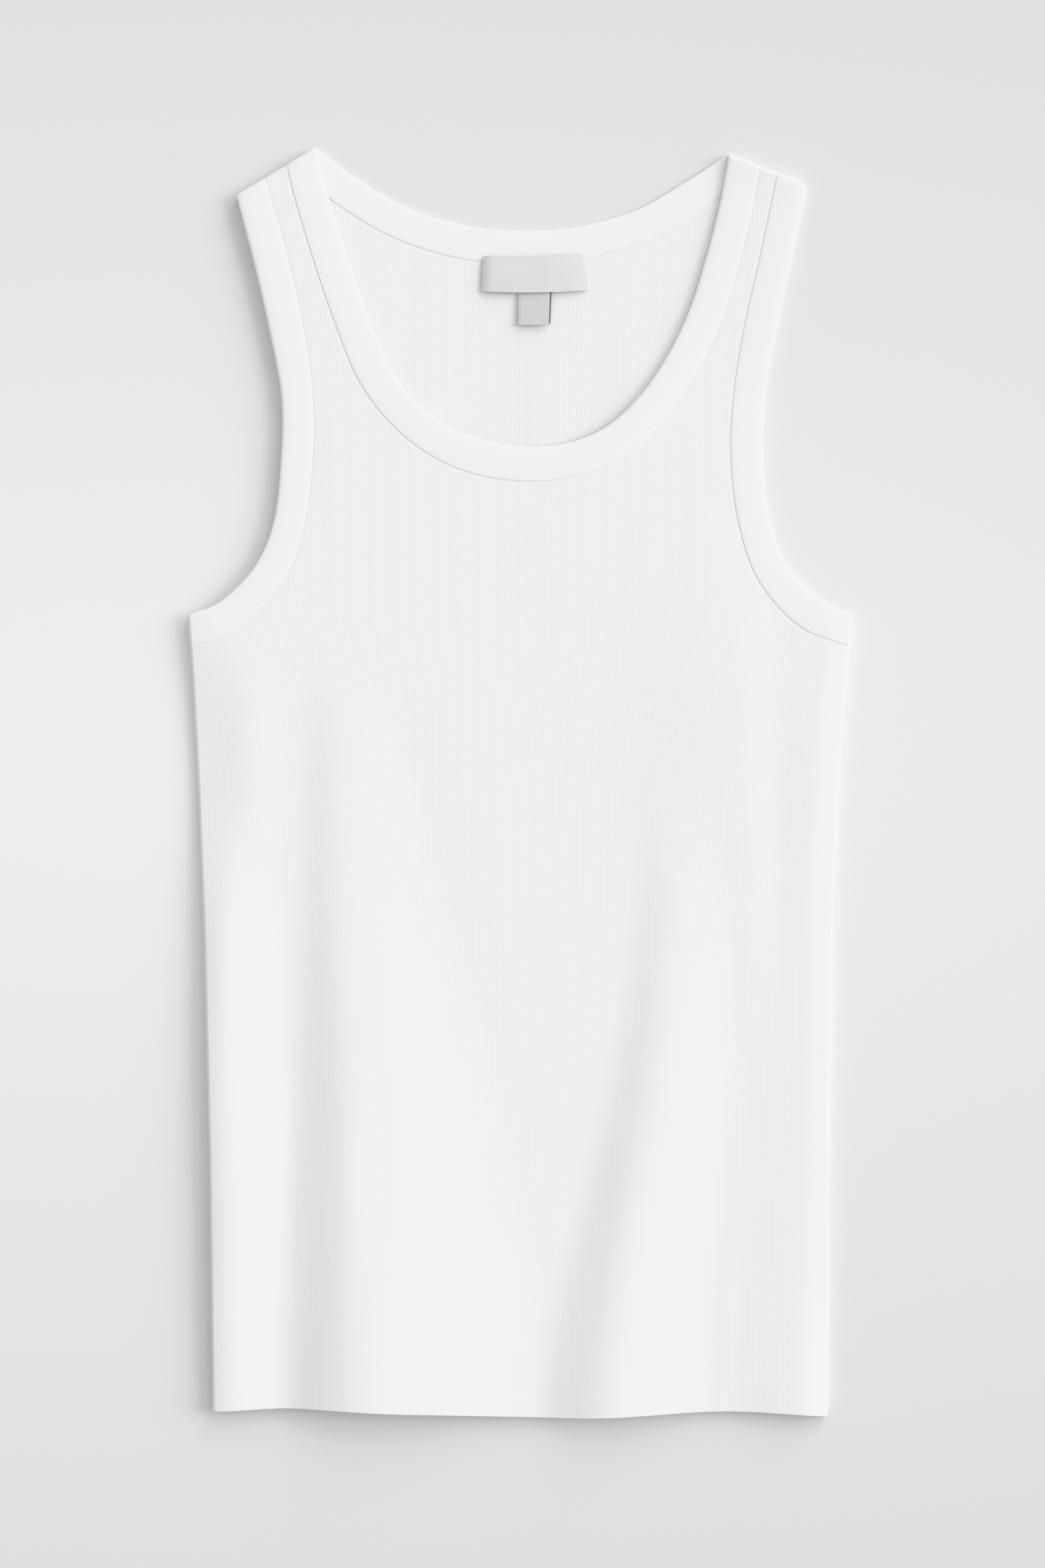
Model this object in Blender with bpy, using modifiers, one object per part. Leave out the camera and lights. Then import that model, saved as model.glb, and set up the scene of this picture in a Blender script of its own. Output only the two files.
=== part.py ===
"""A sleeveless rib-knit tank top, laid flat with its front up and its neck towards +Y.

Run with: blender --background --python part.py
Metres, +Z up. The origin is the middle of the garment's box, on the surface that it lies on.
The tables below are in millimetres, and MM turns them into metres where a mesh is made.
"""

import math

import bmesh
import bpy
import numpy as np

MM = 0.001

# Cloth
PANEL_WALL = 1.6
BAND_WALL = 2.0
LABEL_WALL = 0.5
SEAM_GAP = 0.3
BAND_GAP = 0.4

# Heights of the outer face of the front above the surface
STRAP_HEIGHT = 4.8
TROUGH_HEIGHT = 3.7
SIDE_FOLD_MIDDLE = 3.2
SHOULDER_FOLD_MIDDLE = STRAP_HEIGHT / 2
SIDE_REACH = 16.0
CHEST_LEVEL = 60.0
WAIST_LEVEL = -60.0
ARMHOLE_MIDDLE_LEVEL = 160.0

# How the meshes are divided
FOLD_STEPS = (0.0, 0.015, 0.13, 0.5, 1.0)
ARMHOLE_ROWS = 14
UNDERARM_ROWS = 5
FRONT_STRAP_ROWS = 14
BACK_STRAP_ROWS = 10
BODY_ROWS = 13
FRONT_COLUMNS = 34
BACK_COLUMNS = 14
YOKE_ROWS = 4
BAND_COLUMNS = 3
YOKE_SAG = 30.0

# Shoulder folds: neck corner, then outer corner
LEFT_SHOULDER = ((-98.4, 304.3), (-136.2, 281.5))
RIGHT_SHOULDER = ((100.0, 301.3), (138.1, 286.6))
BAND_AT_SHOULDER = 16.0

# Side folds: height y, left x, right x
SIDES = (
    (-304.3, -146.7, 147.4),
    (-189.0, -148.3, 148.0),
    (-76.0, -151.2, 149.5),
    (0.0, -154.6, 152.8),
    (50.0, -157.2, 156.8),
    (80.0, -159.3, 159.3),
)

# Front hem: x, y
HEM = (
    (-146.7, -301.3),
    (-109.0, -299.8),
    (-55.0, -301.9),
    (22.0, -304.3),
    (99.0, -301.4),
    (147.4, -303.6),
)
BACK_HEM_RISE = 1.5



def at_shoulder(corner, other):
    """The section of a band on a shoulder fold: its free edge at the corner, its seam further along the fold."""
    share = BAND_AT_SHOULDER / math.dist(corner, other)
    return (*corner, *(a + (b - a) * share for a, b in zip(corner, other)))


# Sections of each band, from one fold to the other: free edge x, y, then seam x, y
LEFT_ARMHOLE = (
    at_shoulder(*LEFT_SHOULDER[::-1]),
    (-125.6, 247.5, -110.3, 252.0),
    (-117.9, 213.6, -102.4, 215.8),
    (-114.5, 185.0, -99.6, 185.6),
    (-114.4, 158.9, -99.3, 158.5),
    (-117.9, 125.9, -103.9, 121.6),
    (-127.2, 103.5, -114.4, 95.8),
    (-143.2, 86.8, -135.0, 73.0),
    (-159.3, 80.0, -158.2, 64.6),
)
RIGHT_ARMHOLE = (
    at_shoulder(*RIGHT_SHOULDER[::-1]),
    (130.5, 253.0, 114.8, 252.4),
    (122.7, 216.2, 106.9, 216.8),
    (117.4, 188.0, 102.5, 189.0),
    (116.0, 160.0, 100.6, 160.0),
    (118.6, 129.0, 103.8, 127.0),
    (127.0, 104.6, 113.4, 97.6),
    (142.0, 89.0, 133.6, 74.6),
    (159.3, 80.0, 158.0, 64.8),
)
FRONT_NECK = (
    at_shoulder(*LEFT_SHOULDER),
    (-92.0, 281.0, -107.4, 277.0),
    (-83.5, 254.0, -98.9, 249.0),
    (-74.5, 228.0, -89.5, 221.4),
    (-63.5, 201.0, -78.0, 193.2),
    (-50.7, 183.0, -62.9, 172.4),
    (-35.0, 171.0, -43.0, 156.4),
    (-15.6, 163.4, -20.6, 147.0),
    (5.0, 160.7, 3.5, 144.0),
    (24.0, 162.8, 27.5, 146.6),
    (42.0, 170.8, 50.5, 156.8),
    (57.0, 184.8, 69.0, 174.0),
    (70.0, 203.5, 83.6, 194.8),
    (81.0, 226.4, 96.0, 220.2),
    (88.8, 251.0, 104.2, 246.6),
    (95.5, 277.0, 110.8, 273.4),
    at_shoulder(*RIGHT_SHOULDER),
)
BACK_NECK = (
    at_shoulder(*LEFT_SHOULDER),
    (-79.6, 290.2, -88.4, 277.2),
    (-54.6, 275.5, -61.5, 261.2),
    (-26.7, 267.0, -30.2, 251.2),
    (2.0, 264.3, 2.0, 248.3),
    (28.0, 266.6, 31.0, 250.8),
    (54.6, 274.0, 61.0, 259.4),
    (78.4, 287.4, 87.0, 274.2),
    at_shoulder(*RIGHT_SHOULDER),
)
# Row numbers in the tables above: where an armhole turns to the side, and where each strap meets the chest
ARMHOLE_TURN = 6.6
FRONT_NECK_SPLITS = (5.2, 10.8)
BACK_NECK_SPLITS = (1.9, 6.1)

# Largest folds of the front, each a ridge that grows from its top end to the hem:
# crest x at top, top y, crest x at hem, height at hem, left flank at top and hem, right flank at top and hem
RIDGES = (
    (-88.0, 80.0, -80.0, 3.4, 14.0, 30.0, 40.0, 90.0),
    (74.0, 30.0, 43.0, 3.2, 20.0, 34.0, 30.0, 52.0),
)
# Ridges along the side folds: side, height at chest, height at hem, plateau, inner flank
SIDE_RIDGES = (
    (-1.0, 2.6, 3.1, 14.0, 26.0),
    (1.0, 1.6, 3.1, 18.0, 28.0),
)

# Label and tab inside the back neck: middle x, y, width, height, turn in degrees
LABEL = (7.0, 244.3, 50.0, 18.0, 1.5)
TAB = (7.4, 226.6, 15.0, 15.0, 0.8)
LABEL_COLUMNS = 6

COLOURS = {
    "front_panel": (0.84, 0.84, 0.83),
    "back_panel": (0.80, 0.80, 0.79),
    "neck_band": (0.86, 0.86, 0.85),
    "armhole_band_left": (0.86, 0.86, 0.85),
    "armhole_band_right": (0.86, 0.86, 0.85),
    "neck_label": (0.68, 0.68, 0.68),
    "size_tab": (0.62, 0.62, 0.62),
}


def ease(share):
    """0 to 1 with level ends."""
    share = np.clip(share, 0.0, 1.0)
    return share * share * (3 - 2 * share)


def curve_at(rows, places):
    """Points of a smooth curve through the rows of a table, at fractional row numbers."""
    rows = np.asarray(rows, float)
    rows = np.vstack([2 * rows[0] - rows[1], rows, 2 * rows[-1] - rows[-2]])
    first = np.clip(np.floor(places).astype(int), 0, len(rows) - 4)
    t = (places - first)[:, None]
    p0, p1, p2, p3 = (rows[first + step] for step in range(4))
    return 0.5 * (
        2 * p1
        + (p2 - p0) * t
        + (2 * p0 - 5 * p1 + 4 * p2 - p3) * t**2
        + (3 * p1 - p0 - 3 * p2 + p3) * t**3
    )


def places_along(rows, start, end, count, fold_at_start=0.0, fold_at_end=0.0):
    """Row numbers of evenly spaced sections, with closer ones where the band or panel folds over."""
    dense = np.linspace(start, end, 400)
    points = curve_at(rows, dense)[:, 2:]
    run = np.concatenate([[0.0], np.cumsum(np.linalg.norm(np.diff(points, axis=0), axis=1))])
    near_start = [step * fold_at_start for step in FOLD_STEPS if fold_at_start] or [0.0]
    near_end = [run[-1] - step * fold_at_end for step in FOLD_STEPS[::-1] if fold_at_end] or [run[-1]]
    rest = count + 1 - len(near_start) - len(near_end)
    middle = np.linspace(near_start[-1], near_end[0], rest + 2)[1:-1]
    return np.interp(np.concatenate([near_start, middle, near_end]), run, dense)


def side_x(y):
    heights, left, right = np.array(SIDES).T
    return np.interp(y, heights, left), np.interp(y, heights, right)


def hem_y(x):
    table = np.array(HEM)
    return np.interp(x, table[:, 0], table[:, 1])


def below_shoulder(x, y, neck, outer):
    """Distance from a point to the line of a shoulder fold."""
    slope = (outer[1] - neck[1]) / (outer[0] - neck[0])
    return (neck[1] + slope * (x - neck[0]) - y) / math.hypot(1, slope)


def fold_distance(x, y):
    """Distance to the nearest side or shoulder fold."""
    left, right = side_x(y)
    return np.minimum.reduce(
        [
            x - left,
            right - x,
            below_shoulder(x, y, *LEFT_SHOULDER),
            below_shoulder(x, y, *RIGHT_SHOULDER),
        ]
    ).clip(0.0)


def fold_middle(y):
    """Height of the middle of the fold, where the front turns into the back."""
    on_strap = ease((y - CHEST_LEVEL) / (ARMHOLE_MIDDLE_LEVEL - CHEST_LEVEL))
    return SIDE_FOLD_MIDDLE + (SHOULDER_FOLD_MIDDLE - SIDE_FOLD_MIDDLE) * on_strap


def ridge(x, y, top_x, top_y, hem_x, height, left_top, left_hem, right_top, right_hem):
    grown = np.clip((top_y - y) / (top_y - HEM[0][1]), 0.0, 1.0)
    away = x - (top_x + (hem_x - top_x) * grown)
    left = left_top + (left_hem - left_top) * grown
    right = right_top + (right_hem - right_top) * grown
    share = np.clip(np.where(away < 0, away / left, away / right), -1.0, 1.0)
    return height * np.sin(grown * math.pi / 2) * 0.5 * (1 + np.cos(math.pi * share))


def side_ridge(x, y, side, chest, hem, plateau, flank):
    left, right = side_x(y)
    inside = x - left if side < 0 else right - x
    lower = np.clip((CHEST_LEVEL - y) / (CHEST_LEVEL - HEM[0][1]), 0.0, 1.0)
    present = 1 - ease((y - CHEST_LEVEL) / (ARMHOLE_MIDDLE_LEVEL - CHEST_LEVEL))
    return (chest + (hem - chest) * lower) * present * (1 - ease((inside - plateau) / flank))


def crown(x, y):
    """Height of the front's outer face, away from the folds at its edges."""
    on_chest = ease((y - WAIST_LEVEL) / (CHEST_LEVEL - WAIST_LEVEL))
    level = TROUGH_HEIGHT + (STRAP_HEIGHT - TROUGH_HEIGHT) * on_chest
    sides = sum(side_ridge(x, y, *row) for row in SIDE_RIDGES)
    return level + np.maximum(sides, sum(ridge(x, y, *row) for row in RIDGES))


def turned(x, y):
    """How far the cloth has turned out of the fold at its edge: 0 at the middle of the fold, 1 past it."""
    share = np.clip(fold_distance(x, y) / fold_middle(y), 0.0, 1.0)
    return np.sqrt(1 - (1 - share) ** 2)


def front_face(x, y):
    """Height of the front's outer face: a round fold at the edge, then a slope up to the crown."""
    middle = fold_middle(y)
    slope_part = np.sin(np.clip(fold_distance(x, y) / SIDE_REACH, 0.0, 1.0) * math.pi / 2)
    return middle * (1 + turned(x, y)) + (crown(x, y) - 2 * middle) * slope_part


def back_face(x, y):
    """Height of the back's outer face, which lies on the surface and turns up into the folds."""
    return fold_middle(y) * (1 - turned(x, y))


def raised(flat, face, seam=0.0):
    """Flat points with the height of a face, which starts off the middle of its fold by the seam."""
    x, y = flat.T
    return np.column_stack([x, y, face(x, y) + seam * (1 - turned(x, y))])


def blend(first, last, count):
    """Sections evenly spaced from the first one to the last one."""
    return [first + (last - first) * step / count for step in range(count + 1)]


def across(left, right, sag, columns):
    """One row of the body from fold to fold, closer at the folds and sagging in the middle."""
    width = right[0] - left[0]
    near = np.array(FOLD_STEPS) * SIDE_FOLD_MIDDLE / width
    middle = np.linspace(near[-1], 1 - near[-1], columns + 3)[1:-1]
    share = np.concatenate([near, middle, 1 - near[::-1]])
    row = np.asarray(left) + (np.asarray(right) - np.asarray(left)) * share[:, None]
    row[:, 1] -= sag * 4 * share * (1 - share)
    return row


def armhole_places(rows):
    """Sections of an armhole from its shoulder fold to its underarm fold."""
    upper = places_along(rows, 0, ARMHOLE_TURN, ARMHOLE_ROWS, fold_at_start=SHOULDER_FOLD_MIDDLE)
    lower = places_along(rows, ARMHOLE_TURN, len(rows) - 1, UNDERARM_ROWS, fold_at_end=SIDE_FOLD_MIDDLE)
    return np.concatenate([upper, lower[1:]])


def neck_places(rows, splits, strap_rows, columns):
    """Sections of a neckline: down one strap, across the chest and up the other strap."""
    fold = SHOULDER_FOLD_MIDDLE
    left = places_along(rows, 0, splits[0], strap_rows, fold_at_start=fold)
    chest = places_along(rows, splits[0], splits[1], columns + 2 * len(FOLD_STEPS))
    right = places_along(rows, splits[1], len(rows) - 1, strap_rows, fold_at_end=fold)
    return np.concatenate([left, chest[1:-1], right])


def panel_sections(neck_rows, splits, strap_rows, columns, hem_rise):
    """The body's rows from the hem up, then the yoke's rows from the armholes in to the neckline."""
    left_seam = curve_at(LEFT_ARMHOLE, armhole_places(LEFT_ARMHOLE))[:, 2:]
    right_seam = curve_at(RIGHT_ARMHOLE, armhole_places(RIGHT_ARMHOLE))[:, 2:]
    left_low = left_seam[strap_rows:][::-1]
    right_low = right_seam[strap_rows:][::-1]
    body = []
    for share in np.linspace(0.0, 1.0, BODY_ROWS + 1)[:-1]:
        ends = []
        for side, corner in ((0, left_low[0]), (1, right_low[0])):
            y = HEM[0][1] + (corner[1] - HEM[0][1]) * share
            ends.append((float(side_x(y)[side]), y))
        row = across(*ends, YOKE_SAG * share**2, columns)
        row[:, 1] += (hem_y(row[:, 0]) - HEM[0][1] + hem_rise) * (1 - share) ** 3
        body.append(row)
    body += [across(a, b, YOKE_SAG, columns) for a, b in zip(left_low, right_low)]
    outer = np.vstack([left_seam[: strap_rows + 1], body[-1][1:-1], right_seam[: strap_rows + 1][::-1]])
    inner = curve_at(neck_rows, neck_places(neck_rows, splits, strap_rows, columns))[:, 2:]
    return body, blend(outer, inner, YOKE_ROWS)


def band_sections(rows, places, face):
    """Cross-sections of a band, each from its seam to its free edge."""
    found = []
    for edge_x, edge_y, seam_x, seam_y in curve_at(rows, places):
        edge, seam = np.array([edge_x, edge_y]), np.array([seam_x, seam_y])
        start = seam + (edge - seam) * BAND_GAP / np.linalg.norm(edge - seam)
        found.append(raised(np.linspace(start, edge, BAND_COLUMNS + 1), face))
    return found


def loft(mesh, sections, flip=False, closed=False):
    """Quads between each section and the next one."""
    rows = [[mesh.verts.new(point * MM) for point in section] for section in sections]
    if closed:
        rows.append(rows[0])
    for row, following in zip(rows, rows[1:]):
        for a, b, c, d in zip(row, row[1:], following[1:], following):
            mesh.faces.new((d, c, b, a) if flip else (a, b, c, d))


def material_for(name):
    material = bpy.data.materials.new(name)
    material.use_nodes = True
    shader = material.node_tree.nodes["Principled BSDF"]
    shader.inputs["Base Color"].default_value = (*COLOURS[name], 1.0)
    shader.inputs["Roughness"].default_value = 0.9
    shader.inputs["Metallic"].default_value = 0.0
    return material


def cloth(name, mesh, wall, collection):
    """An object whose outer face is the mesh, with the wall's thickness inside it."""
    bmesh.ops.remove_doubles(mesh, verts=mesh.verts, dist=0.01 * MM)
    data = bpy.data.meshes.new(name)
    mesh.to_mesh(data)
    mesh.free()
    data.shade_smooth()
    data.materials.append(material_for(name))
    piece = bpy.data.objects.new(name, data)
    thickness = piece.modifiers.new("wall", "SOLIDIFY")
    thickness.thickness = wall * MM
    thickness.offset = -1.0
    thickness.use_even_offset = True
    collection.objects.link(piece)
    return piece


def panel(name, sections, face, seam, collection):
    mesh = bmesh.new()
    for block in sections:
        loft(mesh, [raised(section, face, seam) for section in block], flip=seam < 0)
    return cloth(name, mesh, PANEL_WALL, collection)


def neck_band(collection):
    """One ring: down the front neckline and back along the back one."""
    front = neck_places(FRONT_NECK, FRONT_NECK_SPLITS, FRONT_STRAP_ROWS, FRONT_COLUMNS)
    back = neck_places(BACK_NECK, BACK_NECK_SPLITS, BACK_STRAP_ROWS, BACK_COLUMNS)[::-1]
    ring = band_sections(FRONT_NECK, front, front_face)
    ring += band_sections(BACK_NECK, back, back_face)[1:-1]
    mesh = bmesh.new()
    loft(mesh, ring, flip=True, closed=True)
    return cloth("neck_band", mesh, BAND_WALL, collection)


def armhole_band(name, rows, flip, collection):
    """One ring: down the front of the armhole, round the underarm fold and up its back."""
    places = armhole_places(rows)
    ring = band_sections(rows, places, front_face)
    ring += band_sections(rows, places[::-1], back_face)[1:-1]
    mesh = bmesh.new()
    loft(mesh, ring, flip=flip, closed=True)
    return cloth(name, mesh, BAND_WALL, collection)


def label(name, place, collection):
    """A small tape just above the back's inner face, level over the neck band and sloping down below it."""
    x, y, width, height, turn = place
    turn = math.radians(turn)
    sections = []
    for up in np.linspace(-0.5, 0.5, 4) * height:
        over = np.linspace(-0.5, 0.5, LABEL_COLUMNS + 1) * width
        flat_x = x + over * math.cos(turn) - up * math.sin(turn)
        flat_y = y + over * math.sin(turn) + up * math.cos(turn)
        onto_band = ease((flat_y - (LABEL[1] - LABEL[3] / 2)) / (LABEL[3] / 2))
        rest = PANEL_WALL + (BAND_WALL - PANEL_WALL) * onto_band
        sections.append(np.column_stack([flat_x, flat_y, rest + SEAM_GAP + LABEL_WALL]))
    mesh = bmesh.new()
    loft(mesh, sections)
    return cloth(name, mesh, LABEL_WALL, collection)


def main():
    for thing in list(bpy.data.objects):
        bpy.data.objects.remove(thing)
    collection = bpy.data.collections.new("tank_top")
    bpy.context.scene.collection.children.link(collection)
    front = panel_sections(FRONT_NECK, FRONT_NECK_SPLITS, FRONT_STRAP_ROWS, FRONT_COLUMNS, 0.0)
    back = panel_sections(BACK_NECK, BACK_NECK_SPLITS, BACK_STRAP_ROWS, BACK_COLUMNS, BACK_HEM_RISE)
    panel("front_panel", front, front_face, SEAM_GAP, collection)
    panel("back_panel", back, back_face, -SEAM_GAP, collection)
    neck_band(collection)
    armhole_band("armhole_band_left", LEFT_ARMHOLE, False, collection)
    armhole_band("armhole_band_right", RIGHT_ARMHOLE, True, collection)
    label("neck_label", LABEL, collection)
    label("size_tab", TAB, collection)


main()
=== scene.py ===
"""The looks of the tank top: white rib-knit shells, bound edges, a bare label and tab, light and camera.

The tables are in millimetres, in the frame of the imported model: the garment's middle is the origin, +Y runs
up to the neck and +Z out of the surface that it lies on. MM turns them into metres where a mesh is made.
"""

import math

import bmesh
import bpy
import numpy as np
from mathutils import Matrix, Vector


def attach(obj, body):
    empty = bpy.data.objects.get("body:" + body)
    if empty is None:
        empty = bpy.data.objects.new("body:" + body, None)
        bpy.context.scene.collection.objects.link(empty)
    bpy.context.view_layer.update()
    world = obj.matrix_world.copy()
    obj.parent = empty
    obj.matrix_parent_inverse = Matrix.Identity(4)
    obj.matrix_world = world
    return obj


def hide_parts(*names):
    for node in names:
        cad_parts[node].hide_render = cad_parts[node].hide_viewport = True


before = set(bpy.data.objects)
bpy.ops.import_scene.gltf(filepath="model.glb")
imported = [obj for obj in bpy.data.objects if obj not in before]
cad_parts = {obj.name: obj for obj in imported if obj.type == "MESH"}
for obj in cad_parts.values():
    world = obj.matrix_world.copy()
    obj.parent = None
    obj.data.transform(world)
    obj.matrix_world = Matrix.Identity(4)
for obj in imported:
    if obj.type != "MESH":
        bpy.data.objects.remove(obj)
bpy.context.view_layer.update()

MM = 0.001
UV_NAME = "knit"

# Cloth: a rib of the front and the back runs from hem to shoulder, a rib of a band runs across it
PANEL_WALL = 1.25
FRONT_RIBS = 182
BACK_RIBS = 184
RIB_HEIGHT = 0.035
INNER_RIB_HEIGHT = 0.05
RIB_FADE = 2.5
RIB_UNEVENNESS = 0.22
UNEVEN_STEPS = (23.0, 61.0, 83.0, 97.0)
UNEVEN_SWAY = 1.3
BAND_RIB = 2.0
BAND_RIB_HEIGHT = 0.006
COURSE = 0.95

# Height of the front's outer face above the surface, on the straps and chest and below the waist
STRAP_HEIGHT = 4.4
TROUGH_HEIGHT = 3.7
WAIST_LEVEL = -60.0
CHEST_LEVEL = 60.0
ARMHOLE_MIDDLE_LEVEL = 160.0

# The folds where the front turns into the back: height of their middle, how far in the cloth has turned out
# of them, and how far in it slopes up to its full height
SHOULDER_FOLD_MIDDLE = 1.95
SHOULDER_FOLD_REACH = 2.0
SHOULDER_REACH = 16.0
SIDE_FOLD_REACH = 1.4
SIDE_FOLD_REACHES = (
    (85.0, SIDE_FOLD_REACH, SIDE_FOLD_REACH),
    (-304.3, SIDE_FOLD_REACH, SIDE_FOLD_REACH),
)
# The side folds lift off the surface unevenly: y, left, right
SIDE_FOLD_MIDDLES = (
    (85.0, 2.05, 2.0),
    (60.0, 1.75, 1.75),
    (37.0, 1.45, 1.6),
    (-7.0, 1.4, 1.5),
    (-66.0, 2.2, 1.6),
    (-140.0, 2.75, 1.75),
    (-220.0, 2.7, 1.7),
    (-304.3, 2.4, 1.6),
)
# y, left, right
SIDE_REACHES = (
    (85.0, 14.0, 13.0),
    (37.0, 26.0, 14.0),
    (-7.0, 26.0, 14.0),
    (-66.0, 13.0, 14.0),
    (-140.0, 9.0, 13.0),
    (-304.3, 9.0, 12.0),
)

# Shoulder folds: neck corner, then outer corner
LEFT_SHOULDER = ((-98.4, 304.3), (-136.2, 281.5))
RIGHT_SHOULDER = ((100.0, 301.3), (138.1, 286.6))
BAND_AT_SHOULDER = 16.0

# Side folds: height y, left x, right x
SIDES = (
    (-304.3, -147.3, 147.4),
    (-189.0, -148.8, 148.0),
    (-76.0, -151.5, 149.5),
    (0.0, -154.6, 152.8),
    (50.0, -157.2, 156.8),
    (80.0, -159.3, 159.3),
)

# Front hem: x, y
HEM = (
    (-146.7, -301.3),
    (-109.0, -299.8),
    (-55.0, -301.9),
    (22.0, -304.3),
    (99.0, -301.4),
    (147.4, -303.6),
)
BACK_HEM_RISE = 1.5


def at_shoulder(corner, other):
    """A band's section on a shoulder fold: its free edge at the corner, its seam further along the fold."""
    share = BAND_AT_SHOULDER / math.dist(corner, other)
    return (*corner, *(a + (b - a) * share for a, b in zip(corner, other)))


# Sections of each band, from one fold to the other: free edge x, y, then seam x, y
LEFT_ARMHOLE = (
    at_shoulder(*LEFT_SHOULDER[::-1]),
    (-127.3, 247.5, -111.6, 252.0),
    (-119.6, 213.6, -103.7, 215.8),
    (-114.5, 185.0, -99.6, 185.6),
    (-114.4, 158.9, -99.3, 158.5),
    (-117.9, 125.9, -103.9, 121.6),
    (-127.2, 103.5, -114.4, 95.8),
    (-143.2, 86.8, -135.0, 73.0),
    (-159.3, 80.0, -158.2, 64.6),
)
RIGHT_ARMHOLE = (
    at_shoulder(*RIGHT_SHOULDER[::-1]),
    (130.5, 253.0, 114.8, 252.4),
    (122.7, 216.2, 106.9, 216.8),
    (117.4, 188.0, 102.5, 189.0),
    (116.0, 160.0, 100.6, 160.0),
    (118.6, 129.0, 103.8, 127.0),
    (127.0, 104.6, 113.4, 97.6),
    (142.0, 89.0, 133.6, 74.6),
    (159.3, 80.0, 158.0, 64.8),
)
FRONT_NECK = (
    at_shoulder(*LEFT_SHOULDER),
    (-92.0, 281.0, -107.4, 277.0),
    (-83.5, 254.0, -98.9, 249.0),
    (-74.5, 228.0, -89.5, 221.4),
    (-63.5, 201.0, -78.0, 193.2),
    (-50.7, 183.0, -62.9, 172.4),
    (-35.0, 171.0, -43.0, 156.4),
    (-15.6, 163.4, -20.6, 147.0),
    (5.0, 160.7, 3.5, 144.0),
    (24.0, 162.8, 27.5, 146.6),
    (42.0, 170.8, 50.5, 156.8),
    (57.0, 184.8, 69.0, 174.0),
    (70.0, 203.5, 83.6, 194.8),
    (81.0, 226.4, 96.0, 220.2),
    (88.8, 251.0, 104.2, 246.6),
    (95.5, 277.0, 110.8, 273.4),
    at_shoulder(*RIGHT_SHOULDER),
)
BACK_NECK = (
    at_shoulder(*LEFT_SHOULDER),
    (-79.6, 290.2, -88.4, 277.2),
    (-54.6, 275.5, -61.5, 261.2),
    (-26.7, 267.0, -30.2, 251.2),
    (2.0, 264.3, 2.0, 248.3),
    (28.0, 266.6, 31.0, 250.8),
    (54.6, 274.0, 61.0, 259.4),
    (78.4, 287.4, 87.0, 274.2),
    at_shoulder(*RIGHT_SHOULDER),
)

# Folds of the front, each a ridge from the top down: y, crest x, height, width of its left and right flanks
FRONT_RIDGES = (
    (
        (60.0, -84.0, 0.0, 20.0, 28.0),
        (10.0, -85.5, 1.1, 21.0, 40.0),
        (-60.0, -83.5, 2.0, 26.0, 56.0),
        (-136.0, -80.0, 3.3, 31.0, 74.0),
        (-184.0, -79.0, 4.0, 34.0, 82.0),
        (-232.0, -78.0, 4.8, 38.0, 88.0),
        (-270.0, -79.5, 5.3, 38.0, 92.0),
        (-304.3, -80.5, 5.9, 38.0, 94.0),
    ),
    (
        (-215.0, -64.0, 0.0, 28.0, 60.0),
        (-260.0, -66.0, 0.5, 26.0, 64.0),
        (-304.3, -67.0, 1.2, 26.0, 66.0),
    ),
    (
        (-5.0, 72.0, 0.0, 20.0, 26.0),
        (-50.0, 73.0, 0.9, 20.0, 30.0),
        (-130.0, 68.5, 2.3, 27.0, 38.0),
        (-210.0, 55.0, 3.4, 31.0, 44.0),
        (-270.0, 46.0, 4.0, 36.0, 48.0),
        (-304.3, 44.5, 4.7, 38.0, 50.0),
    ),
    (
        (-190.0, 137.0, 0.0, 26.0, 20.0),
        (-250.0, 137.0, 0.9, 36.0, 20.0),
        (-304.3, 136.5, 1.9, 40.0, 20.0),
    ),
    (
        (130.0, 98.0, 0.0, 60.0, 26.0),
        (60.0, 101.0, 0.8, 70.0, 28.0),
        (0.0, 106.0, 0.6, 70.0, 22.0),
        (-60.0, 108.0, 0.4, 60.0, 18.0),
        (-130.0, 108.0, 0.0, 60.0, 16.0),
    ),
)
# Extra height beside the side folds, level over the plateau and then falling over the flank: y, left, right
SIDE_RISE = (
    (160.0, 0.0, 0.0),
    (60.0, 0.0, 0.2),
    (37.0, 0.0, 0.2),
    (-7.0, 0.3, 0.2),
    (-66.0, 2.0, 0.3),
    (-180.0, 2.8, 0.4),
    (-304.3, 2.0, 0.0),
)
SIDE_PLATEAU = 9.0
SIDE_FLANK = (32.0, 34.0)
# Soft arches of the back, off the surface: y, crest x, height, width of its left and right flanks
BACK_RIDGES = (
    ((60.0, -70.0, 0.0, 30.0, 30.0), (-150.0, -76.0, 0.5, 30.0, 44.0), (-304.3, -70.0, 1.0, 30.0, 50.0)),
    ((0.0, 60.0, 0.0, 24.0, 24.0), (-150.0, 62.0, 0.4, 26.0, 30.0), (-304.3, 48.0, 0.8, 30.0, 40.0)),
    ((140.0, 30.0, 0.25, 40.0, 26.0), (40.0, 12.0, 0.3, 50.0, 30.0), (-90.0, 0.0, 0.0, 40.0, 30.0)),
)
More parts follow.
